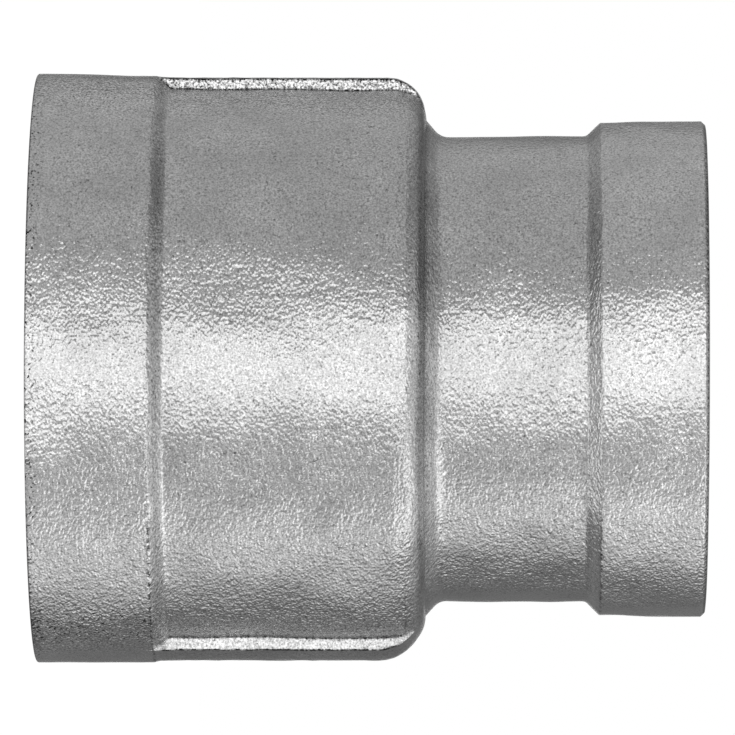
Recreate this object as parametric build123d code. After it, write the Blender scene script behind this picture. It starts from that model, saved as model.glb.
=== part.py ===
# A reducing coupling: a short banded socket that joins two threaded pipes of
# different size in one straight line.  It is cast in one piece in stainless
# steel, and then faced, bored and threaded from both ends.
# Everything is in millimetres.  The fitting stands on its large end: the origin
# is the centre of that face, and +Z runs up the waterway to the small end.
from build123d import *
from math import cos, radians, tan
import os

# Pipe threads, parallel, of the 55 degree form.  Each bore is left at the
# crests of its thread, and the wall is counted from the thread's root.
large_thread_radius = 20.955 / 2
large_thread_pitch = 1.814
large_wall = 2.85
small_thread_radius = 16.662 / 2
small_thread_pitch = 1.337
small_wall = 2.74
thread_depth_per_pitch = 0.6403

# Lengths, from each end face to the edge of the shoulder between the two sizes
large_end_length = 17.70
small_end_length = 14.05
large_band_length = 5.60
small_band_length = 4.95

# The bands that stiffen the mouths: cast with draft, stepped down to the body
# by a slope, and with their outer edge broken when the ends are faced.
large_band_height = 0.63
large_band_step = 0.66
small_band_height = 0.66
small_band_step = 0.80
casting_draft = 0.7
step_fillet = 0.35
face_edge_chamfer = 0.20

# The shoulder: from an edge on the large body it rounds over until it is square
# to the axis, and from that crease a neck slopes down to the small body.
shoulder_run = 0.78
neck_height_share = 1 / 3
neck_slope = 48.0
neck_fillet = 0.80

# The ribs along the large body, which a chain or pipe wrench grips
rib_count = 2
rib_width = 5.00
rib_height = 0.52
rib_draft = 7.0
rib_end_round = 1.75
rib_end_setback = 0.05

# The mouths, countersunk to lead the pipe in, and the taper between the bores
mouth_clearance = 0.15
mouth_angle = 45.0
taper_before_shoulder = 2.10
taper_after_shoulder = 0.80

overall_length = large_end_length + small_end_length
shoulder_height = large_end_length
crease_height = shoulder_height + shoulder_run
large_body_radius = large_thread_radius + large_wall
small_body_radius = small_thread_radius + small_wall


def drafted(length):
    """How far a cast side leans out over a length."""
    return length * tan(radians(casting_draft))


def turned(outline):
    """The solid that a closed outline of (radius, height) sweeps round the axis."""
    return revolve(Plane.XZ * make_face(outline), Axis.Z)


def outside():
    """The casting before it is bored: two bands, two bodies and the shoulder."""
    large_band_radius = large_body_radius + large_band_height
    large_face_radius = large_band_radius + drafted(large_band_length)
    small_band_radius = small_body_radius + small_band_height
    small_face_radius = small_band_radius + drafted(small_band_length)
    small_band_start = overall_length - small_band_length

    shoulder_edge = (large_body_radius, shoulder_height)
    neck_height = neck_height_share * (large_body_radius - small_body_radius)
    crease = (small_body_radius + neck_height, crease_height)
    neck_foot = (small_body_radius, crease_height + neck_height / tan(radians(neck_slope)))
    widest_neck_fillet = 0.9 * neck_height / (1 - cos(radians(neck_slope)))

    large_end = FilletPolyline(
        (0, 0),
        (large_face_radius - face_edge_chamfer, 0),
        (large_face_radius, face_edge_chamfer),
        (large_band_radius, large_band_length),
        (large_body_radius, large_band_length + large_band_step),
        shoulder_edge,
        radius=[0, 0, 0, step_fillet],
    )
    shoulder = TangentArc(crease, shoulder_edge, tangent=(1, 0))
    small_end = FilletPolyline(
        crease,
        neck_foot,
        (small_body_radius, small_band_start - small_band_step),
        (small_band_radius, small_band_start),
        (small_face_radius, overall_length - face_edge_chamfer),
        (small_face_radius - face_edge_chamfer, overall_length),
        (0, overall_length),
        radius=[min(neck_fillet, widest_neck_fillet), step_fillet, 0, 0, 0],
    )
    axis_line = Line((0, overall_length), (0, 0))
    return turned(large_end + shoulder + small_end + axis_line)


def wrench_rib():
    """One rib on the +X side: a bar with drafted sides that rounds down into the shoulder."""
    rib_radius = large_body_radius + rib_height
    root_radius = large_body_radius - large_wall / 2
    start = large_band_length / 2
    end = crease_height - rib_end_setback

    def half_width(radius):
        return rib_width / 2 + (rib_radius - radius) * tan(radians(rib_draft))

    beyond = rib_radius + rib_height
    sides = Polyline(
        (root_radius, -half_width(root_radius)),
        (beyond, -half_width(beyond)),
        (beyond, half_width(beyond)),
        (root_radius, half_width(root_radius)),
        close=True,
    )
    bar = extrude(Plane.XY.offset(start) * make_face(sides), end - start)
    crown = turned(FilletPolyline(
        (0, start),
        (rib_radius, start),
        (rib_radius, end),
        (0, end),
        radius=[0, 0, rib_end_round, 0],
        close=True,
    ))
    return bar & crown


def waterway():
    """What is taken out: a bore with a countersunk mouth at each end, and a taper between."""
    large_bore_radius = large_thread_radius - thread_depth_per_pitch * large_thread_pitch
    small_bore_radius = small_thread_radius - thread_depth_per_pitch * small_thread_pitch
    mouth_slope = tan(radians(mouth_angle))
    large_mouth_radius = large_thread_radius + mouth_clearance
    small_mouth_radius = small_thread_radius + mouth_clearance
    large_mouth_depth = (large_mouth_radius - large_bore_radius) / mouth_slope
    small_mouth_depth = (small_mouth_radius - small_bore_radius) / mouth_slope
    beyond = 1.0
    return turned(Polyline(
        (0, -beyond),
        (large_mouth_radius + beyond * mouth_slope, -beyond),
        (large_bore_radius, large_mouth_depth),
        (large_bore_radius, shoulder_height - taper_before_shoulder),
        (small_bore_radius, shoulder_height + taper_after_shoulder),
        (small_bore_radius, overall_length - small_mouth_depth),
        (small_mouth_radius + beyond * mouth_slope, overall_length + beyond),
        (0, overall_length + beyond),
        close=True,
    ))


def coupling_body():
    """The whole fitting, which is one piece."""
    body = outside()
    for place in range(rib_count):
        body += Rot(Z=place * 360 / rib_count) * wrench_rib()
    return body - waterway()


os.makedirs("parts", exist_ok=True)
export_step(coupling_body(), "parts/coupling_body.step")
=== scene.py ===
from math import cos, pi, radians, sin, tan

import bpy
from mathutils import Matrix, Vector


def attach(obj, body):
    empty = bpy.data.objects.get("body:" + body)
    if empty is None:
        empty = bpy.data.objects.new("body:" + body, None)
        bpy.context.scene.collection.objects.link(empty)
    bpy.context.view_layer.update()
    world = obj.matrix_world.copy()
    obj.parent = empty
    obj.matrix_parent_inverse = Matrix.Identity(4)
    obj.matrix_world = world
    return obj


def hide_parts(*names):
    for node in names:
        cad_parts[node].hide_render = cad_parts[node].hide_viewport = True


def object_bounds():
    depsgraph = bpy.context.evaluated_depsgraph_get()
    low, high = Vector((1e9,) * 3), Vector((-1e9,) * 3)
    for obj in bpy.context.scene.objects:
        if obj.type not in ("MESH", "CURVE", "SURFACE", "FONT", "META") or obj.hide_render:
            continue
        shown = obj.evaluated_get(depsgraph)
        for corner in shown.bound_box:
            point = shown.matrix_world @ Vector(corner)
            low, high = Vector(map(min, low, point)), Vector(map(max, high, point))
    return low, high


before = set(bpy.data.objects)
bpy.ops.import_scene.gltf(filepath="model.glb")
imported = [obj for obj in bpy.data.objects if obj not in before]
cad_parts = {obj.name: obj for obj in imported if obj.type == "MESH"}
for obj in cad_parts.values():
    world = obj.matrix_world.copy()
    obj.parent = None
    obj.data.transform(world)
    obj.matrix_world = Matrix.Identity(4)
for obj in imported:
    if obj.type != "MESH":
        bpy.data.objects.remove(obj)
cad_low, cad_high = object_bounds()
scene = bpy.context.scene
mm = 0.001


# The camera.
# The fitting stands on its large end here, and the photograph has its waterway
# lying across the picture, so the camera is on its side: the waterway runs to
# the right and the rib on +X is at the bottom, turned a little to the front.
fitting_length = cad_high.z - cad_low.z
camera_distance = 457 * mm
camera_height = 21.7 * mm
aim_height = 15.7 * mm
aim_above_axis = 0.05 * mm
camera_azimuth = radians(4.5)
camera_roll = radians(0.09)
camera_lens = 470.0

camera = bpy.data.objects.new("camera", bpy.data.cameras.new("camera"))
scene.collection.objects.link(camera)
scene.camera = camera
camera.data.sensor_width = 36.0
camera.data.lens = camera_lens
camera.data.clip_start = 10 * mm
camera.data.clip_end = 20.0
to_camera = Vector((sin(camera_azimuth), -cos(camera_azimuth), 0))
picture_up = Vector((-cos(camera_azimuth), -sin(camera_azimuth), 0))
camera_place = to_camera * camera_distance + Vector((0, 0, camera_height))
aim = Vector((0, 0, aim_height)) + picture_up * aim_above_axis
back = (camera_place - aim).normalized()
level_up = (picture_up - picture_up.dot(back) * back).normalized()
level_right = level_up.cross(back)
right = level_right * cos(camera_roll) + level_up * sin(camera_roll)
up = level_up * cos(camera_roll) - level_right * sin(camera_roll)
turned = Matrix((right, up, back)).transposed().to_4x4()
camera.matrix_world = Matrix.Translation(camera_place) @ turned


# The skin of the casting.
# It is stainless steel as it comes from a lost-wax mould and the shot-blasting
# cabinet: pale grey, evenly peened by the shot, with a slight orange peel.
speck_size = 0.085 * mm
grain_size = 0.15 * mm
streak_size = 0.25 * mm
peel_size = 0.30 * mm
cloud_size = 2.6 * mm
swell_size = 4.5 * mm
grain_depth = 0.036 * mm
peel_depth = 0.042 * mm
swell_depth = 0.30 * mm
notch_depth = 0.10 * mm
squeeze_along = 1.45
widest_reach = 14.0 * mm
skin_tone = 0.562
skin_roughness = 0.21
skin_roughness_range = 0.06

# Rings round the fitting, as reach from the axis and height, in millimetres.
large_edge = (13.96, 5.66)
large_step = (13.62, 6.02)
shoulder_lip = (13.24, 17.61)
shoulder_face = (12.50, 18.34)
neck_crease = (11.92, 18.48)
small_step = (11.40, 26.42)
small_edge = (11.74, 26.76)
notched_edge = (13.95, 5.68)

# The heights of the three hollows, in millimetres.
large_hollow = 6.05
neck_hollow = 18.60
small_hollow = 26.42


class Signal:
    """A socket of a node tree, on which sums can be written as they are on numbers."""

    def __init__(self, tree, socket=None):
        self.tree = tree
        self.socket = socket

    def node(self, kind, settings=(), inputs=(), output=0):
        """Adds a node: its settings are set first, then its sockets are set or linked."""
        made = self.tree.nodes.new(kind)
        for name, value in dict(settings).items():
            setattr(made, name, value)
        for name, value in dict(inputs).items():
            if isinstance(value, Signal):
                self.tree.links.new(value.socket, made.inputs[name])
            else:
                made.inputs[name].default_value = value
        return Signal(self.tree, made.outputs[output]) if made.outputs else None

    def math(self, operation, *values):
        return self.node("ShaderNodeMath", {"operation": operation}, enumerate(values))

    def __add__(self, other):
        return self.math("ADD", self, other)

    def __sub__(self, other):
        return self.math("SUBTRACT", self, other)

    def __rsub__(self, other):
        return self.math("SUBTRACT", other, self)

    def __mul__(self, other):
        return self.math("MULTIPLY", self, other)

    def __truediv__(self, other):
        return self.math("DIVIDE", self, other)

    def __rtruediv__(self, other):
        return self.math("DIVIDE", other, self)

    __radd__ = __add__
    __rmul__ = __mul__


cast_skin = bpy.data.materials.new("blasted cast stainless")
cast_skin.use_nodes = True
cast_skin.node_tree.nodes.clear()
start = Signal(cast_skin.node_tree)
place = start.node("ShaderNodeTexCoord", output="Object")


def cloud(where, size, detail):
    """Plain noise with lumps of about one size."""
    inputs = {"Vector": where, "Scale": 1 / size, "Detail": detail}
    return where.node("ShaderNodeTexNoise", {}, inputs)


def times(vector, factors):
    """The vector with each of its parts multiplied by its own factor."""
    return vector.node(
        "ShaderNodeVectorMath", {"operation": "MULTIPLY"}, {0: vector, 1: factors}
    )


def length_of(vector):
    """How long the vector is."""
    return vector.node("ShaderNodeVectorMath", {"operation": "LENGTH"}, {0: vector}, "Value")


def part_of(vector, axis):
    """The vector's X, Y or Z."""
    return vector.node("ShaderNodeSeparateXYZ", {}, {0: vector}, axis)


def clamped(value, low, high, to_low, to_high, ends="LINEAR"):
    """The value carried from one range to the other, and held past both ends."""
    inputs = {
        "Value": value,
        "From Min": low,
        "From Max": high,
        "To Min": to_low,
        "To Max": to_high,
    }
    return value.node("ShaderNodeMapRange", {"interpolation_type": ends}, inputs)


def smoothed(value, low, high, to_low, to_high):
    """The same, but with soft ends."""
    return clamped(value, low, high, to_low, to_high, "SMOOTHSTEP")


squeezed = times(place, (1, 1, squeeze_along))
grain = cloud(squeezed, grain_size, 0.5)
peel = cloud(squeezed, peel_size, 0.5)
specks = cloud(place, speck_size, 1.0)
drift = cloud(place, cloud_size, 2.0)
swell = cloud(place, swell_size, 1.0)
streaks = cloud(place, streak_size, 1.0)
chips = cloud(place, grain_size, 1.0)
across = times(place, (1, 1, 0))
reach = length_of(across)
along = part_of(place, "Z")
towards_rib = part_of(place, "X")
side = towards_rib / widest_reach
lean = towards_rib / reach


def beside(ring, width):
    """One on a ring round the fitting, and falling to nothing at that width from it."""
    ring_reach, ring_height = ring
    out = reach - ring_reach * mm
    off = along - ring_height * mm
    gap = place.math("SQRT", out * out + off * off)
    return smoothed(gap, 0, width * mm, 1, 0)


def beyond_height(low, high, to_low, to_high):
    """A value that changes between two heights, which are in millimetres."""
    return smoothed(along, low * mm, high * mm, to_low, to_high)


def away_from(height, low, high, to_low):
    """One, but less near a height."""
    return smoothed(place.math("ABSOLUTE", along - height * mm), low * mm, high * mm, to_low, 1)


# Darkening: painted shade along the shoulder, the neck's crease and the band's step, darker
# towards -X;
# a painted dark line at the two rims; painted shade along the band edges and the shoulder lip
# towards +X;
# real dirt in a stain, in chips and pits; and, where the mesh says so, painted shade at the
# ribs' feet and crown edges, with thin grime on the crowns.
shade_and_dirt = (
    beside(shoulder_face, 0.60) * (0.24 - side * 0.10)
    + beside(neck_crease, 0.50) * (0.20 - side * 0.16)
    + beside(large_step, 0.45) * 0.14
)
top_in_mm = cad_high.z / mm
# A painted dark line at both end rims, standing in for the shade of their rounded edges.
rim_shade = beyond_height(0.03, 0.10, 0.34, 0)
rim_shade = rim_shade + beyond_height(top_in_mm - 0.20, top_in_mm - 0.06, 0, 0.40)
stain_place = (12.75 * mm, -5.85 * mm, 0)
from_stain = across.node(
    "ShaderNodeVectorMath", {"operation": "DISTANCE"}, {0: across, 1: stain_place}, "Value"
)
stained = smoothed(from_stain, 0.8 * mm, 2.4 * mm, 1, 0) * beyond_height(5.4, 5.8, 1, 0)
near_face = beyond_height(0.15, 0.75, 1, 0)
chipped = near_face * smoothed(chips, 0.56, 0.68, 0, 0.42)
flecks = stained * smoothed(chips + near_face * 0.12, 0.56, 0.66, 0, 0.36)
pits = smoothed(chips, 0.62, 0.74, 0, 0.22)
# Painted shade along the band edges and the shoulder lip, on the side towards +X only, broken
# by streaks.
shaded_lips = beside(large_edge, 0.13) + beside(small_edge, 0.13)
shaded_lips = shaded_lips * smoothed(side, 0.35, 0.65, 0, 1)
shaded_lips = shaded_lips + beside(shoulder_lip, 0.13) * smoothed(side, 0.70, 0.85, 0, 1)
shaded_lips = shaded_lips * smoothed(streaks, 0.42, 0.58, 0, 0.42)
# From the mesh: painted shade at the ribs' feet and crown edges, and thin grime on the crowns.
rib_shade_and_grime = place.node("ShaderNodeAttribute", {"attribute_name": "rib_shade_and_grime"}, {}, "Fac")
shade_and_dirt = shade_and_dirt + rim_shade + chipped + flecks + pits + shaded_lips + rib_shade_and_grime * (streaks * 2.2 - 0.35)

# The metal's tone: speckled, more so towards the ribs. The small band and the large end are
# paler as painted light, the large band a shade paler, and the small step has a painted
# highlight towards +X.
speckle = smoothed(place.math("ABSOLUTE", side), 0.78, 0.94, 0.92, 1.65)
speckle = speckle + smoothed(side, -0.94, -0.78, 0.7, 0)
speckle = speckle - smoothed(lean, 0.970, 0.982, 0, 0.9)
patches = (0.5 + drift * 1.6) * speckle
tone_and_light = skin_tone + (specks * 0.7 + grain * 0.3 - 0.5) * patches + (drift - 0.5) * 0.22
# Painted light: the small band and the large end paler, and a painted highlight by the small
# step towards +X.
tone_and_light = tone_and_light + beyond_height(26.2, 27.0, 0, 0.045)
tone_and_light = tone_and_light + beyond_height(5.3, 5.7, 0.012, 0)
tone_and_light = tone_and_light + beside(small_step, 0.42) * smoothed(side, -0.35, 0, 0, 0.10)
tone_and_light = tone_and_light + beyond_height(0.5, 3.0, 0.04, 0)
shade = place.node(
    "ShaderNodeMix",
    {"data_type": "RGBA"},
    {"Factor": tone_and_light - shade_and_dirt, 6: (0.02, 0.02, 0.02, 1), 7: (1.0, 1.0, 1.0, 1)},
    output=2,
)

# The relief: calmer in the three hollows, and rougher towards the rib on +X.
calm = away_from(large_hollow, 0.25, 0.50, 0.70)
calm = calm * away_from(small_hollow, 0.25, 0.50, 0.75)
calm = calm * away_from(neck_hollow, 0.40, 0.90, 0.65)
rougher = smoothed(lean, 0.80, 0.91, 1, 1.5) - smoothed(lean, 0.960, 0.980, 0, 0.7)
relief = (grain * grain_depth + peel * peel_depth) * calm * rougher + swell * swell_depth
relief = relief + beside(notched_edge, 0.22) * (streaks - 0.5) * notch_depth
dented = place.node(
    "ShaderNodeBump", {}, {"Strength": 1.0, "Distance": 1.0, "Height": relief}
)
skin = place.node(
    "ShaderNodeBsdfPrincipled",
    {},
    {
        "Base Color": shade,
        "Metallic": 1.0,
        "Roughness": skin_roughness + drift * skin_roughness_range,
        "Normal": dented,
    },
)
skin.node("ShaderNodeOutputMaterial", {}, {"Surface": skin})


# Where the casting is cut.
# The two end faces, the countersinks and the threads are turned on a lathe, so
# they are brighter and smoother, with the fine rings that the tool leaves.
ring_pitch = 0.11 * mm
ring_depth = 0.0016 * mm
cut_colour = (0.62, 0.62, 0.61, 1)
cut_roughness = 0.22
cut_roughness_range = 0.10

cut_metal = bpy.data.materials.new("turned stainless")
cut_metal.use_nodes = True
cut_metal.node_tree.nodes.clear()
start = Signal(cut_metal.node_tree)
place = start.node("ShaderNodeTexCoord", output="Object")
reach = length_of(times(place, (1, 1, 0)))
along = part_of(place, "Z")
ring_place = reach.node("ShaderNodeCombineXYZ", {}, {"X": reach, "Y": along})
rings = cloud(ring_place, ring_pitch, 1.0)
smear = cloud(place, cloud_size, 2.0)
scored = rings.node(
    "ShaderNodeBump", {}, {"Strength": 1.0, "Distance": 1.0, "Height": rings * ring_depth}
)
bright = rings.node(
    "ShaderNodeBsdfPrincipled",
    {},
    {
        "Base Color": cut_colour,
        "Metallic": 1.0,
        "Roughness": cut_roughness + smear * cut_roughness_range,
        "Normal": scored,
    },
)
bright.node("ShaderNodeOutputMaterial", {}, {"Surface": bright})


# The coupling, which is one piece of cast stainless steel.
# Its outline is turned round the waterway, and the two wrench ribs stand on the
# large body.  The mould rounds every edge a little; the threads are then cut in.
large_pitch = 1.814 * mm
small_pitch = 1.337 * mm
large_threaded = 13.50 * mm
small_threaded = 10.50 * mm
large_body = 13.3275 * mm
large_band = 13.9575 * mm
large_face = 14.026 * mm
small_body = 11.071 * mm
small_band = 11.731 * mm
small_face = 11.7915 * mm
large_crest = 9.316 * mm
small_crest = 7.475 * mm
large_mouth = 10.6275 * mm
small_mouth = 8.481 * mm
large_band_edge = 5.68 * mm
large_step_foot = 6.38 * mm
lean_start = 17.05 * mm
lean_in = 0.12 * mm
shoulder_edge = 17.62 * mm
crease_height = 18.48 * mm
crease_reach = 11.823 * mm
shoulder_tip = crease_reach + 0.9545 * mm
shoulder_round = 1.45 * mm
neck_foot = 19.157 * mm
small_step_foot = 26.08 * mm
small_band_edge = 26.75 * mm
taper_start = 15.60 * mm
taper_end = 18.50 * mm
face_round = 0.12 * mm
face_break = 0.20 * mm
small_rounding = 0.08 * mm
cut_rounding = 0.05 * mm

# Each corner of the outline: reach from the axis, height, the radius that rounds
# it, how many steps round it, the longest row after it and how far it wanders.
rows_per_turn = 12
wide_row = 0.36 * mm
large_row = large_pitch / rows_per_turn
small_row = small_pitch / rows_per_turn
top = fitting_length
outline = [
    (large_face, 0, face_round, 8, wide_row, 0),
    (large_band, large_band_edge, 0.12 * mm, 4, wide_row, 1.0),
    (large_body, large_step_foot, 0.35 * mm, 5, wide_row, 0),
    (large_body, lean_start, 0.8 * mm, 2, wide_row, 0.15),
    (large_body - lean_in, shoulder_edge, small_rounding, 2, wide_row, 0.15),
    (shoulder_tip, crease_height, shoulder_round, 12, wide_row, 0.15),
    (crease_reach, crease_height, 0.14 * mm, 3, wide_row, 0),
    (small_body, neck_foot, 0.80 * mm, 7, wide_row, 0),
    (small_body, small_step_foot, 0.35 * mm, 5, wide_row, 0),
    (small_band, small_band_edge, 0.14 * mm, 4, wide_row, 0.3),
    (small_face, top - face_break, small_rounding, 3, wide_row, 0),
    (small_face - face_break, top, small_rounding, 3, wide_row, 0),
    (small_mouth, top, cut_rounding, 2, small_row, 0),
    (small_crest, top - (small_mouth - small_crest), cut_rounding, 2, small_row, 0),
    (small_crest, taper_end, 0.20 * mm, 3, wide_row, 0),
    (large_crest, taper_start, 0.20 * mm, 3, large_row, 0),
    (large_crest, large_mouth - large_crest, cut_rounding, 2, large_row, 0),
    (large_mouth, 0, cut_rounding, 2, wide_row, 0),
]
section = bpy.data.meshes.new("coupling")
section.from_pydata(
    [(corner[0], 0, corner[1]) for corner in outline],
    [(i, (i + 1) % len(outline)) for i in range(len(outline))],
    [],
)
for name, kind, column in (
    ("corner_radius", "FLOAT", 2),
    ("corner_steps", "INT", 3),
    ("row", "FLOAT", 4),
    ("wander", "FLOAT", 5),
):
    values = section.attributes.new(name, kind, "POINT").data
    values.foreach_set("value", [corner[column] for corner in outline])
coupling = bpy.data.objects.new("coupling", section)
scene.collection.objects.link(coupling)

tree = bpy.data.node_groups.new("turned casting", "GeometryNodeTree")
tree.interface.new_socket("Geometry", in_out="INPUT", socket_type="NodeSocketGeometry")
tree.interface.new_socket("Geometry", in_out="OUTPUT", socket_type="NodeSocketGeometry")
sizes = {
    "Ribs": 2,
    "Rib width": 5.20 * mm,
    "Rib crown": 13.8475 * mm,
    "Rib draft": tan(radians(3.5)),
    "Rib start": 5.60 * mm,
    "Rib end": 18.43 * mm,
    "Rib end round": 1.75 * mm,
    "Edge softness": 0.10 * mm,
    "Large pitch": large_pitch,
    "Large thread end": large_threaded,
    "Small pitch": small_pitch,
    "Small thread end": top - small_threaded,
    "Wander": 0.15 * mm,
    "Unevenness": 0.28 * mm,
    "Raggedness": 0.08 * mm,
    "Widest": 14.02 * mm,
    "First rib's extra round": 0.46 * mm,
    "First rib's extra height": 0.05 * mm,
    "First rib's turn": radians(-1.4),
    "Rib's lead-in": 0.03 * mm,
}
for name in sizes:
    tree.interface.new_socket(name, in_out="INPUT", socket_type="NodeSocketFloat")
for name in ("Skin", "Cut"):
    tree.interface.new_socket(name, in_out="INPUT", socket_type="NodeSocketMaterial")
start = Signal(tree)
size = {
    socket.name: start.node("NodeGroupInput", output=socket.name)
    for socket in tree.interface.items_tree
    if socket.in_out == "INPUT"
}


def attribute(name, kind="FLOAT"):
    """A value that the points carry."""
    return start.node("GeometryNodeInputNamedAttribute", {"data_type": kind}, {"Name": name})


def stored(geometry, name, value):
    """The geometry with a value kept on its points."""
    inputs = {"Geometry": geometry, "Name": name, "Value": value}
    settings = {"data_type": "FLOAT", "domain": "POINT"}
    return start.node("GeometryNodeStoreNamedAttribute", settings, inputs)


# The outline: each corner is rounded, then long stretches are cut into rows.
line = start.node("GeometryNodeMeshToCurve", {}, {"Mesh": size["Geometry"]})
line = start.node(
    "GeometryNodeFilletCurve",
    {"mode": "POLY"},
    {
        "Curve": line,
        "Count": attribute("corner_steps", "INT"),
        "Radius": attribute("corner_radius"),
        "Limit Radius": True,
    },
)
position = start.node("GeometryNodeInputPosition")
following = start.node("GeometryNodeOffsetPointInCurve", {}, {"Offset": 1}, "Point Index")
after = start.node(
    "GeometryNodeFieldAtIndex",
    {"data_type": "FLOAT_VECTOR"},
    {"Index": following, "Value": position},
)
stretch = start.node(
    "ShaderNodeVectorMath", {"operation": "DISTANCE"}, {0: position, 1: after}, "Value"
)
just_under = 0.999
cuts = start.math("FLOOR", stretch / attribute("row") * just_under)
line = start.node("GeometryNodeSubdivideCurve", {}, {"Curve": line, "Cuts": cuts})
line = stored(line, "reach", part_of(position, "X"))
line = stored(line, "height", part_of(position, "Z"))

# The turn: its steps are crowded where the sides of a rib rise from the body.
crown_steps = 5
side_steps = 18
open_steps = 34
crown_reach = radians(10.5)
side_reach = radians(11.8)
quarter = crown_steps + side_steps + open_steps
index = start.node("GeometryNodeInputIndex")
ring = start.node(
    "GeometryNodeCurvePrimitiveCircle",
    {"mode": "RADIUS"},
    {"Resolution": 4 * quarter, "Radius": 1 * mm},
)
ring = stored(ring, "step", index)
body = start.node(
    "GeometryNodeCurveToMesh", {}, {"Curve": ring, "Profile Curve": line}
)
step = attribute("step")
rib_spacing = 2 * pi / size["Ribs"]
nearest = start.math("ROUND", step / (2 * quarter))
from_rib = start.math("PINGPONG", step, quarter)
past_side = crown_steps + side_steps
swing = (
    clamped(from_rib, 0, crown_steps, 0, crown_reach)
    + clamped(from_rib, crown_steps, past_side, 0, side_reach - crown_reach)
    + clamped(from_rib, past_side, quarter, 0, rib_spacing / 2 - side_reach)
)
side = start.math("SIGN", step / (2 * quarter) - nearest)
full_turns = start.math("FLOOR", nearest / size["Ribs"])
first_rib = start.math("COMPARE", nearest - full_turns * size["Ribs"], 0, 0.5)
let_go = clamped(from_rib, past_side, quarter, 1, 0)
angle = nearest * rib_spacing + side * swing + first_rib * let_go * size["First rib's turn"]
reach = attribute("reach")
height = attribute("height")

# A casting is never quite round or straight, and the mould's band edge wanders.
# The unevenness stays on the outside, and off the turned face of the large end.
# Noise strays by about a quarter, so four of it make a full wander.
full_wander = 4
roam_size = 0.22
lump_size = 4.0 * mm
outside_from = 10.8 * mm
outside_full = 11.0 * mm
uneven_from = 0.5 * mm
uneven_full = 3.5 * mm
round_place = start.node(
    "ShaderNodeCombineXYZ",
    {},
    {"X": start.math("COSINE", angle), "Y": start.math("SINE", angle)},
)
roam = cloud(round_place, roam_size, 3.0) - 0.5
height = height + roam * attribute("wander") * size["Wander"] * full_wander


def at_reach(distance):
    """The place at that distance from the axis, at the point's angle and height."""
    return start.node(
        "ShaderNodeCombineXYZ",
        {},
        {
            "X": distance * start.math("COSINE", angle),
            "Y": distance * start.math("SINE", angle),
            "Z": height,
        },
    )


lump_place = at_reach(reach)
outer = clamped(reach, outside_from, outside_full, 0, 1)
outer = outer * clamped(height, uneven_from, uneven_full, 0, 1)
lumps = cloud(lump_place, lump_size, 1.0) - 0.5
uneven = reach + lumps * outer * size["Unevenness"]
reach = start.math("MINIMUM", uneven, size["Widest"])

# The ribs: drafted sides that rise to a level crown, which rounds down at its end.
lead_start = 5.9 * mm
lead_end = 7.1 * mm
drop_outside = 20
ragged_size = 0.5 * mm
sine = start.math("SINE", swing)
cosine = start.math("COSINE", swing)
rise = (size["Rib width"] / 2 + size["Rib crown"] * size["Rib draft"]) / (
    sine + cosine * size["Rib draft"]
)
end_round = size["Rib end round"] + first_rib * size["First rib's extra round"]
rib_top = size["Rib crown"] + first_rib * size["First rib's extra height"]
past_bend = start.math("MAXIMUM", height - (size["Rib end"] - end_round), 0)
bend_squared = end_round * end_round - past_bend * past_bend
bend = start.math("SQRT", start.math("MAXIMUM", bend_squared, 0))
past_end = start.math("MAXIMUM", height - size["Rib end"], 0)
before_start = start.math("MAXIMUM", size["Rib start"] - height, 0)
outside_rib = past_end + before_start
ragged = (cloud(lump_place, ragged_size, 1.0) - 0.5) * size["Raggedness"]
rib_top = rib_top + clamped(height, lead_start, lead_end, 1, 0) * size["Rib's lead-in"]
crown = rib_top - end_round + bend - outside_rib * drop_outside + ragged
rib = start.math("SMOOTH_MIN", rise, crown, size["Edge softness"])
ribbed = start.math("SMOOTH_MAX", reach, rib, size["Edge softness"])

# The pipe threads: parallel, right-hand, of the 55 degree form, running out inwards.
sharp_height_per_pitch = 0.960491
depth_per_pitch = 0.640327
crest_share = 1 / 6
rounding_per_pitch = 0.16
runout_slope = 0.65


def thread(crest, pitch, full_to, inwards):
    """The reach of a threaded bore, whose groove gets shallow past its last full turn."""
    sharp_height = pitch * sharp_height_per_pitch
    depth = pitch * depth_per_pitch
    rounding = pitch * rounding_per_pitch
    lead = height - pitch * angle / (2 * pi)
    swung = start.math("PINGPONG", lead, pitch / 2)
    flank = swung / pitch * 2 * sharp_height - sharp_height * crest_share
    groove = start.math("SMOOTH_MIN", flank, depth, rounding)
    groove = start.math("SMOOTH_MAX", groove, 0, rounding)
    past_full = start.math("MAXIMUM", (height - full_to) * inwards, 0)
    left = depth - past_full * runout_slope
    return crest + start.math("MAXIMUM", start.math("MINIMUM", groove, left), 0)


between_from = 16.9 * mm
between_to = 17.1 * mm
inner_reach = 10.7 * mm
large_thread = thread(large_crest, size["Large pitch"], size["Large thread end"], 1)
small_thread = thread(small_crest, size["Small pitch"], size["Small thread end"], -1)
upper = clamped(height, between_from, between_to, 0, 1)
cut_to = large_thread + upper * (small_thread - large_thread)
threaded = start.math("MAXIMUM", reach, cut_to)
is_inner = start.math("LESS_THAN", attribute("reach"), inner_reach)
placed = at_reach(ribbed + is_inner * (threaded - ribbed))

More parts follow.
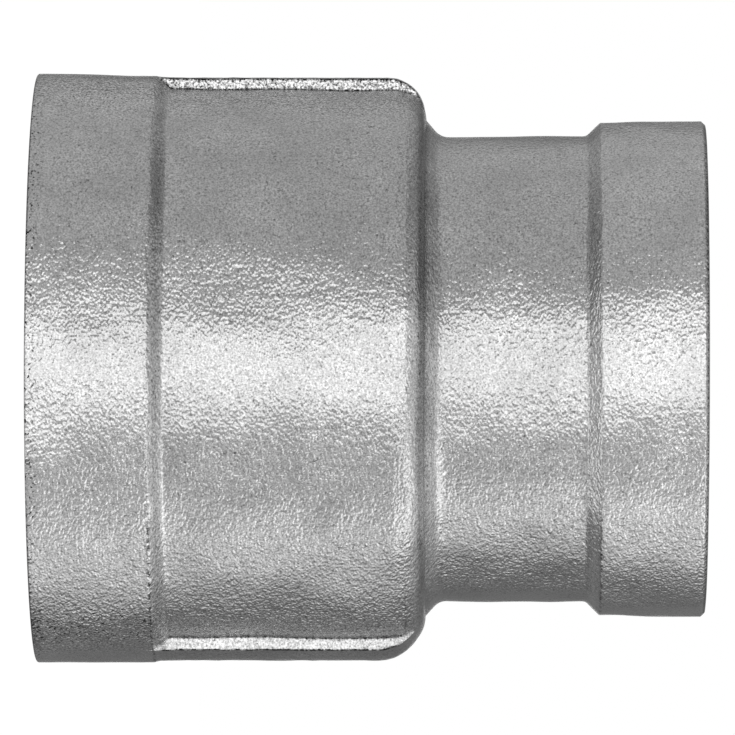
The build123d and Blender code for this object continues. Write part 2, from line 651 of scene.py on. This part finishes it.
# Painted shade lies along the feet of the ribs and as a dark line along the edges of their
# crowns, and thin grime lies on the crowns.
foot_shade = 0.45
crown_grime = 0.14
along_body = 1.8 * mm
along_crown = 0.20 * mm
up_side = 0.08 * mm
foot = start.math(
    "MINIMUM",
    clamped(reach - rise, 0, along_body, foot_shade, 0),
    clamped(rise - reach, 0, up_side, foot_shade, 0),
)
edge = start.math(
    "MINIMUM",
    clamped(rise - crown, 0, along_crown, 1, 0),
    clamped(crown - rise, 0, up_side, 1, 0),
)
on_rib = clamped(crown - reach, 0.15 * mm, 0.45 * mm, 0, 1)
on_crown = clamped(rise - crown, along_crown / 2, along_crown, 0, crown_grime)
rib_shade_and_dirt = start.math("MAXIMUM", start.math("MAXIMUM", foot, edge), on_crown)
body = stored(body, "rib_shade_and_grime", rib_shade_and_dirt * on_rib)
body = start.node("GeometryNodeSetPosition", {}, {"Geometry": body, "Position": placed})
body = start.node("GeometryNodeFlipFaces", {}, {"Mesh": body})
body = start.node("GeometryNodeSetShadeSmooth", {}, {"Geometry": body})
body = start.node("GeometryNodeRealizeInstances", {}, {"Geometry": body})

# What the lathe cuts: the two end faces, and both bores with their mouths.
face_depth = 0.02 * mm
from_middle = start.math("ABSOLUTE", height - top / 2)
at_faces = start.math("GREATER_THAN", from_middle, top / 2 - face_depth)
from_taper = start.math("ABSOLUTE", height - (taper_start + taper_end) / 2)
in_bores = is_inner * start.math(
    "GREATER_THAN", from_taper, (taper_end - taper_start) / 2
)
body = start.node(
    "GeometryNodeSetMaterial", {}, {"Geometry": body, "Material": size["Skin"]}
)
body = start.node(
    "GeometryNodeSetMaterial",
    {},
    {
        "Geometry": body,
        "Selection": start.math("MAXIMUM", at_faces, in_bores),
        "Material": size["Cut"],
    },
)
start.node("NodeGroupOutput", {}, {"Geometry": body})

casting = coupling.modifiers.new("casting", "NODES")
casting.node_group = tree
sizes["Skin"] = cast_skin
sizes["Cut"] = cut_metal
for socket in tree.interface.items_tree:
    if socket.in_out == "INPUT" and socket.name in sizes:
        casting[socket.identifier] = sizes[socket.name]
bpy.context.view_layer.update()
graph = bpy.context.evaluated_depsgraph_get()
finished = bpy.data.meshes.new_from_object(coupling.evaluated_get(graph))
coupling.modifiers.clear()
coupling.data = finished
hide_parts("coupling_body")
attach(coupling, "root")


# The floor.
# A round pale floor just under the fitting, which keeps its soft shadow.  The
# camera sees it nearly white; the metal mirrors the room instead of it.
floor_radius = 250 * mm
floor_height = -0.02 * mm
floor_steps = 120
floor_white = 0.88
floor_colour = (0.8, 0.8, 0.8, 1)
floor_glow = 1.10

paper = bpy.data.materials.new("floor paper")
paper.use_nodes = True
paper.node_tree.nodes.clear()
start = Signal(paper.node_tree)
seen = start.node("ShaderNodeLightPath", {}, {}, "Is Camera Ray") * floor_white
matt = start.node("ShaderNodeBsdfDiffuse", {}, {"Color": floor_colour})
white = start.node(
    "ShaderNodeEmission", {}, {"Color": (1, 1, 1, 1), "Strength": floor_glow}
)
surface = start.node("ShaderNodeMixShader", {}, {0: seen, 1: matt, 2: white})
start.node("ShaderNodeOutputMaterial", {}, {"Surface": surface})

turns = [2 * pi * i / floor_steps for i in range(floor_steps)]
corners = [
    (floor_radius * cos(turn), floor_radius * sin(turn), floor_height) for turn in turns
]
plate = bpy.data.meshes.new("floor")
plate.from_pydata(corners, [], [list(range(floor_steps))])
plate.materials.append(paper)
floor = bpy.data.objects.new("floor", plate)
scene.collection.objects.link(floor)
floor.visible_glossy = False
floor.visible_shadow = False


# The light.
# Two soft boxes, one behind the camera and one below it in the picture, in a
# grey room with pale cards, before a white backdrop.
world = bpy.data.worlds.new("room")
scene.world = world
world.use_nodes = True
world.node_tree.nodes.clear()
start = Signal(world.node_tree)
direction = start.node("ShaderNodeTexCoord", output="Generated")


def towards(azimuth, elevation):
    """The direction at an azimuth counted from the camera, to the picture's bottom."""
    turn = camera_azimuth + radians(azimuth)
    rise = radians(elevation)
    return Vector((sin(turn) * cos(rise), -cos(turn) * cos(rise), sin(rise)))


def near(azimuth, elevation):
    """The cosine of the angle from that direction."""
    inputs = {0: direction, 1: tuple(towards(azimuth, elevation))}
    return start.node("ShaderNodeVectorMath", {"operation": "DOT_PRODUCT"}, inputs, "Value")


def card(azimuth, elevation, outer, inner, brightness):
    """A round card: full inside the inner angle from its middle, gone at the outer one."""
    inside = near(azimuth, elevation)
    return smoothed(inside, cos(radians(outer)), cos(radians(inner)), 0, brightness)


# The walls are paler on the side of the picture's top, and dim behind the fitting
# and towards the ceiling and the ground.  Then come the two cards, the ceiling,
# and the pale ground that the metal mirrors in place of the floor.
wall = smoothed(near(-60, 0), -0.45, 0.25, 0.18, 0.50)
wall = wall * smoothed(near(180, 0), cos(radians(32)), cos(radians(12)), 1, 0.15)
level_out = start.math("ABSOLUTE", part_of(direction, "Z"))
wall = wall * smoothed(level_out, 0.35, 0.80, 1, 0.50)
lower_card = card(azimuth=65, elevation=0, outer=49, inner=42, brightness=0.56)
end_card = card(azimuth=70, elevation=38, outer=37, inner=12, brightness=1.45)
ceiling = smoothed(near(60, 68), 0.45, 1.0, 0.20, 0.80)
ground = smoothed(near(45, -80), 0.72, 1.0, 0.20, 1.35)
room = start.math("MAXIMUM", wall, start.math("MAXIMUM", lower_card, end_card))
room = start.math("MAXIMUM", room, start.math("MAXIMUM", ceiling, ground))

# The camera sees a plain white backdrop, and so do mirrored and transmitted rays
# that leave straight behind the fitting.
backdrop = start.math("GREATER_THAN", near(180, 0), cos(radians(8)))
path = {
    name: start.node("ShaderNodeLightPath", {}, {}, name)
    for name in ("Is Camera Ray", "Is Glossy Ray", "Is Transmission Ray")
}
mirrored = start.math("MAXIMUM", path["Is Glossy Ray"], path["Is Transmission Ray"])
seen = start.math("MAXIMUM", path["Is Camera Ray"], mirrored * backdrop)
level = room + seen * (1 - room)
sky = start.node("ShaderNodeBackground", {}, {"Color": (1, 1, 1, 1), "Strength": level})
start.node("ShaderNodeOutputWorld", {}, {"Surface": sky})


def soft_box(name, azimuth, height, distance, width, tall, brightness):
    """A soft box that faces the fitting, as bright as a white sheet times its brightness."""
    lamp = bpy.data.lights.new(name, "AREA")
    lamp.shape = "RECTANGLE"
    lamp.size = width
    lamp.size_y = tall
    lamp.energy = brightness * pi * width * tall
    stand = bpy.data.objects.new(name, lamp)
    scene.collection.objects.link(stand)
    stand.location = towards(azimuth, 0) * distance + Vector((0, 0, height))
    to_fitting = Vector((0, 0, aim_height)) - stand.location
    stand.rotation_euler = to_fitting.to_track_quat("-Z", "Y").to_euler()
    stand.visible_camera = False


soft_box(
    "front box", azimuth=-1.6, height=0.10, distance=1.1, width=1.02, tall=2.30, brightness=0.95
)
soft_box(
    "side box", azimuth=77, height=0.05, distance=1.1, width=0.46, tall=0.90, brightness=0.40
)

scene.view_settings.view_transform = "Standard"
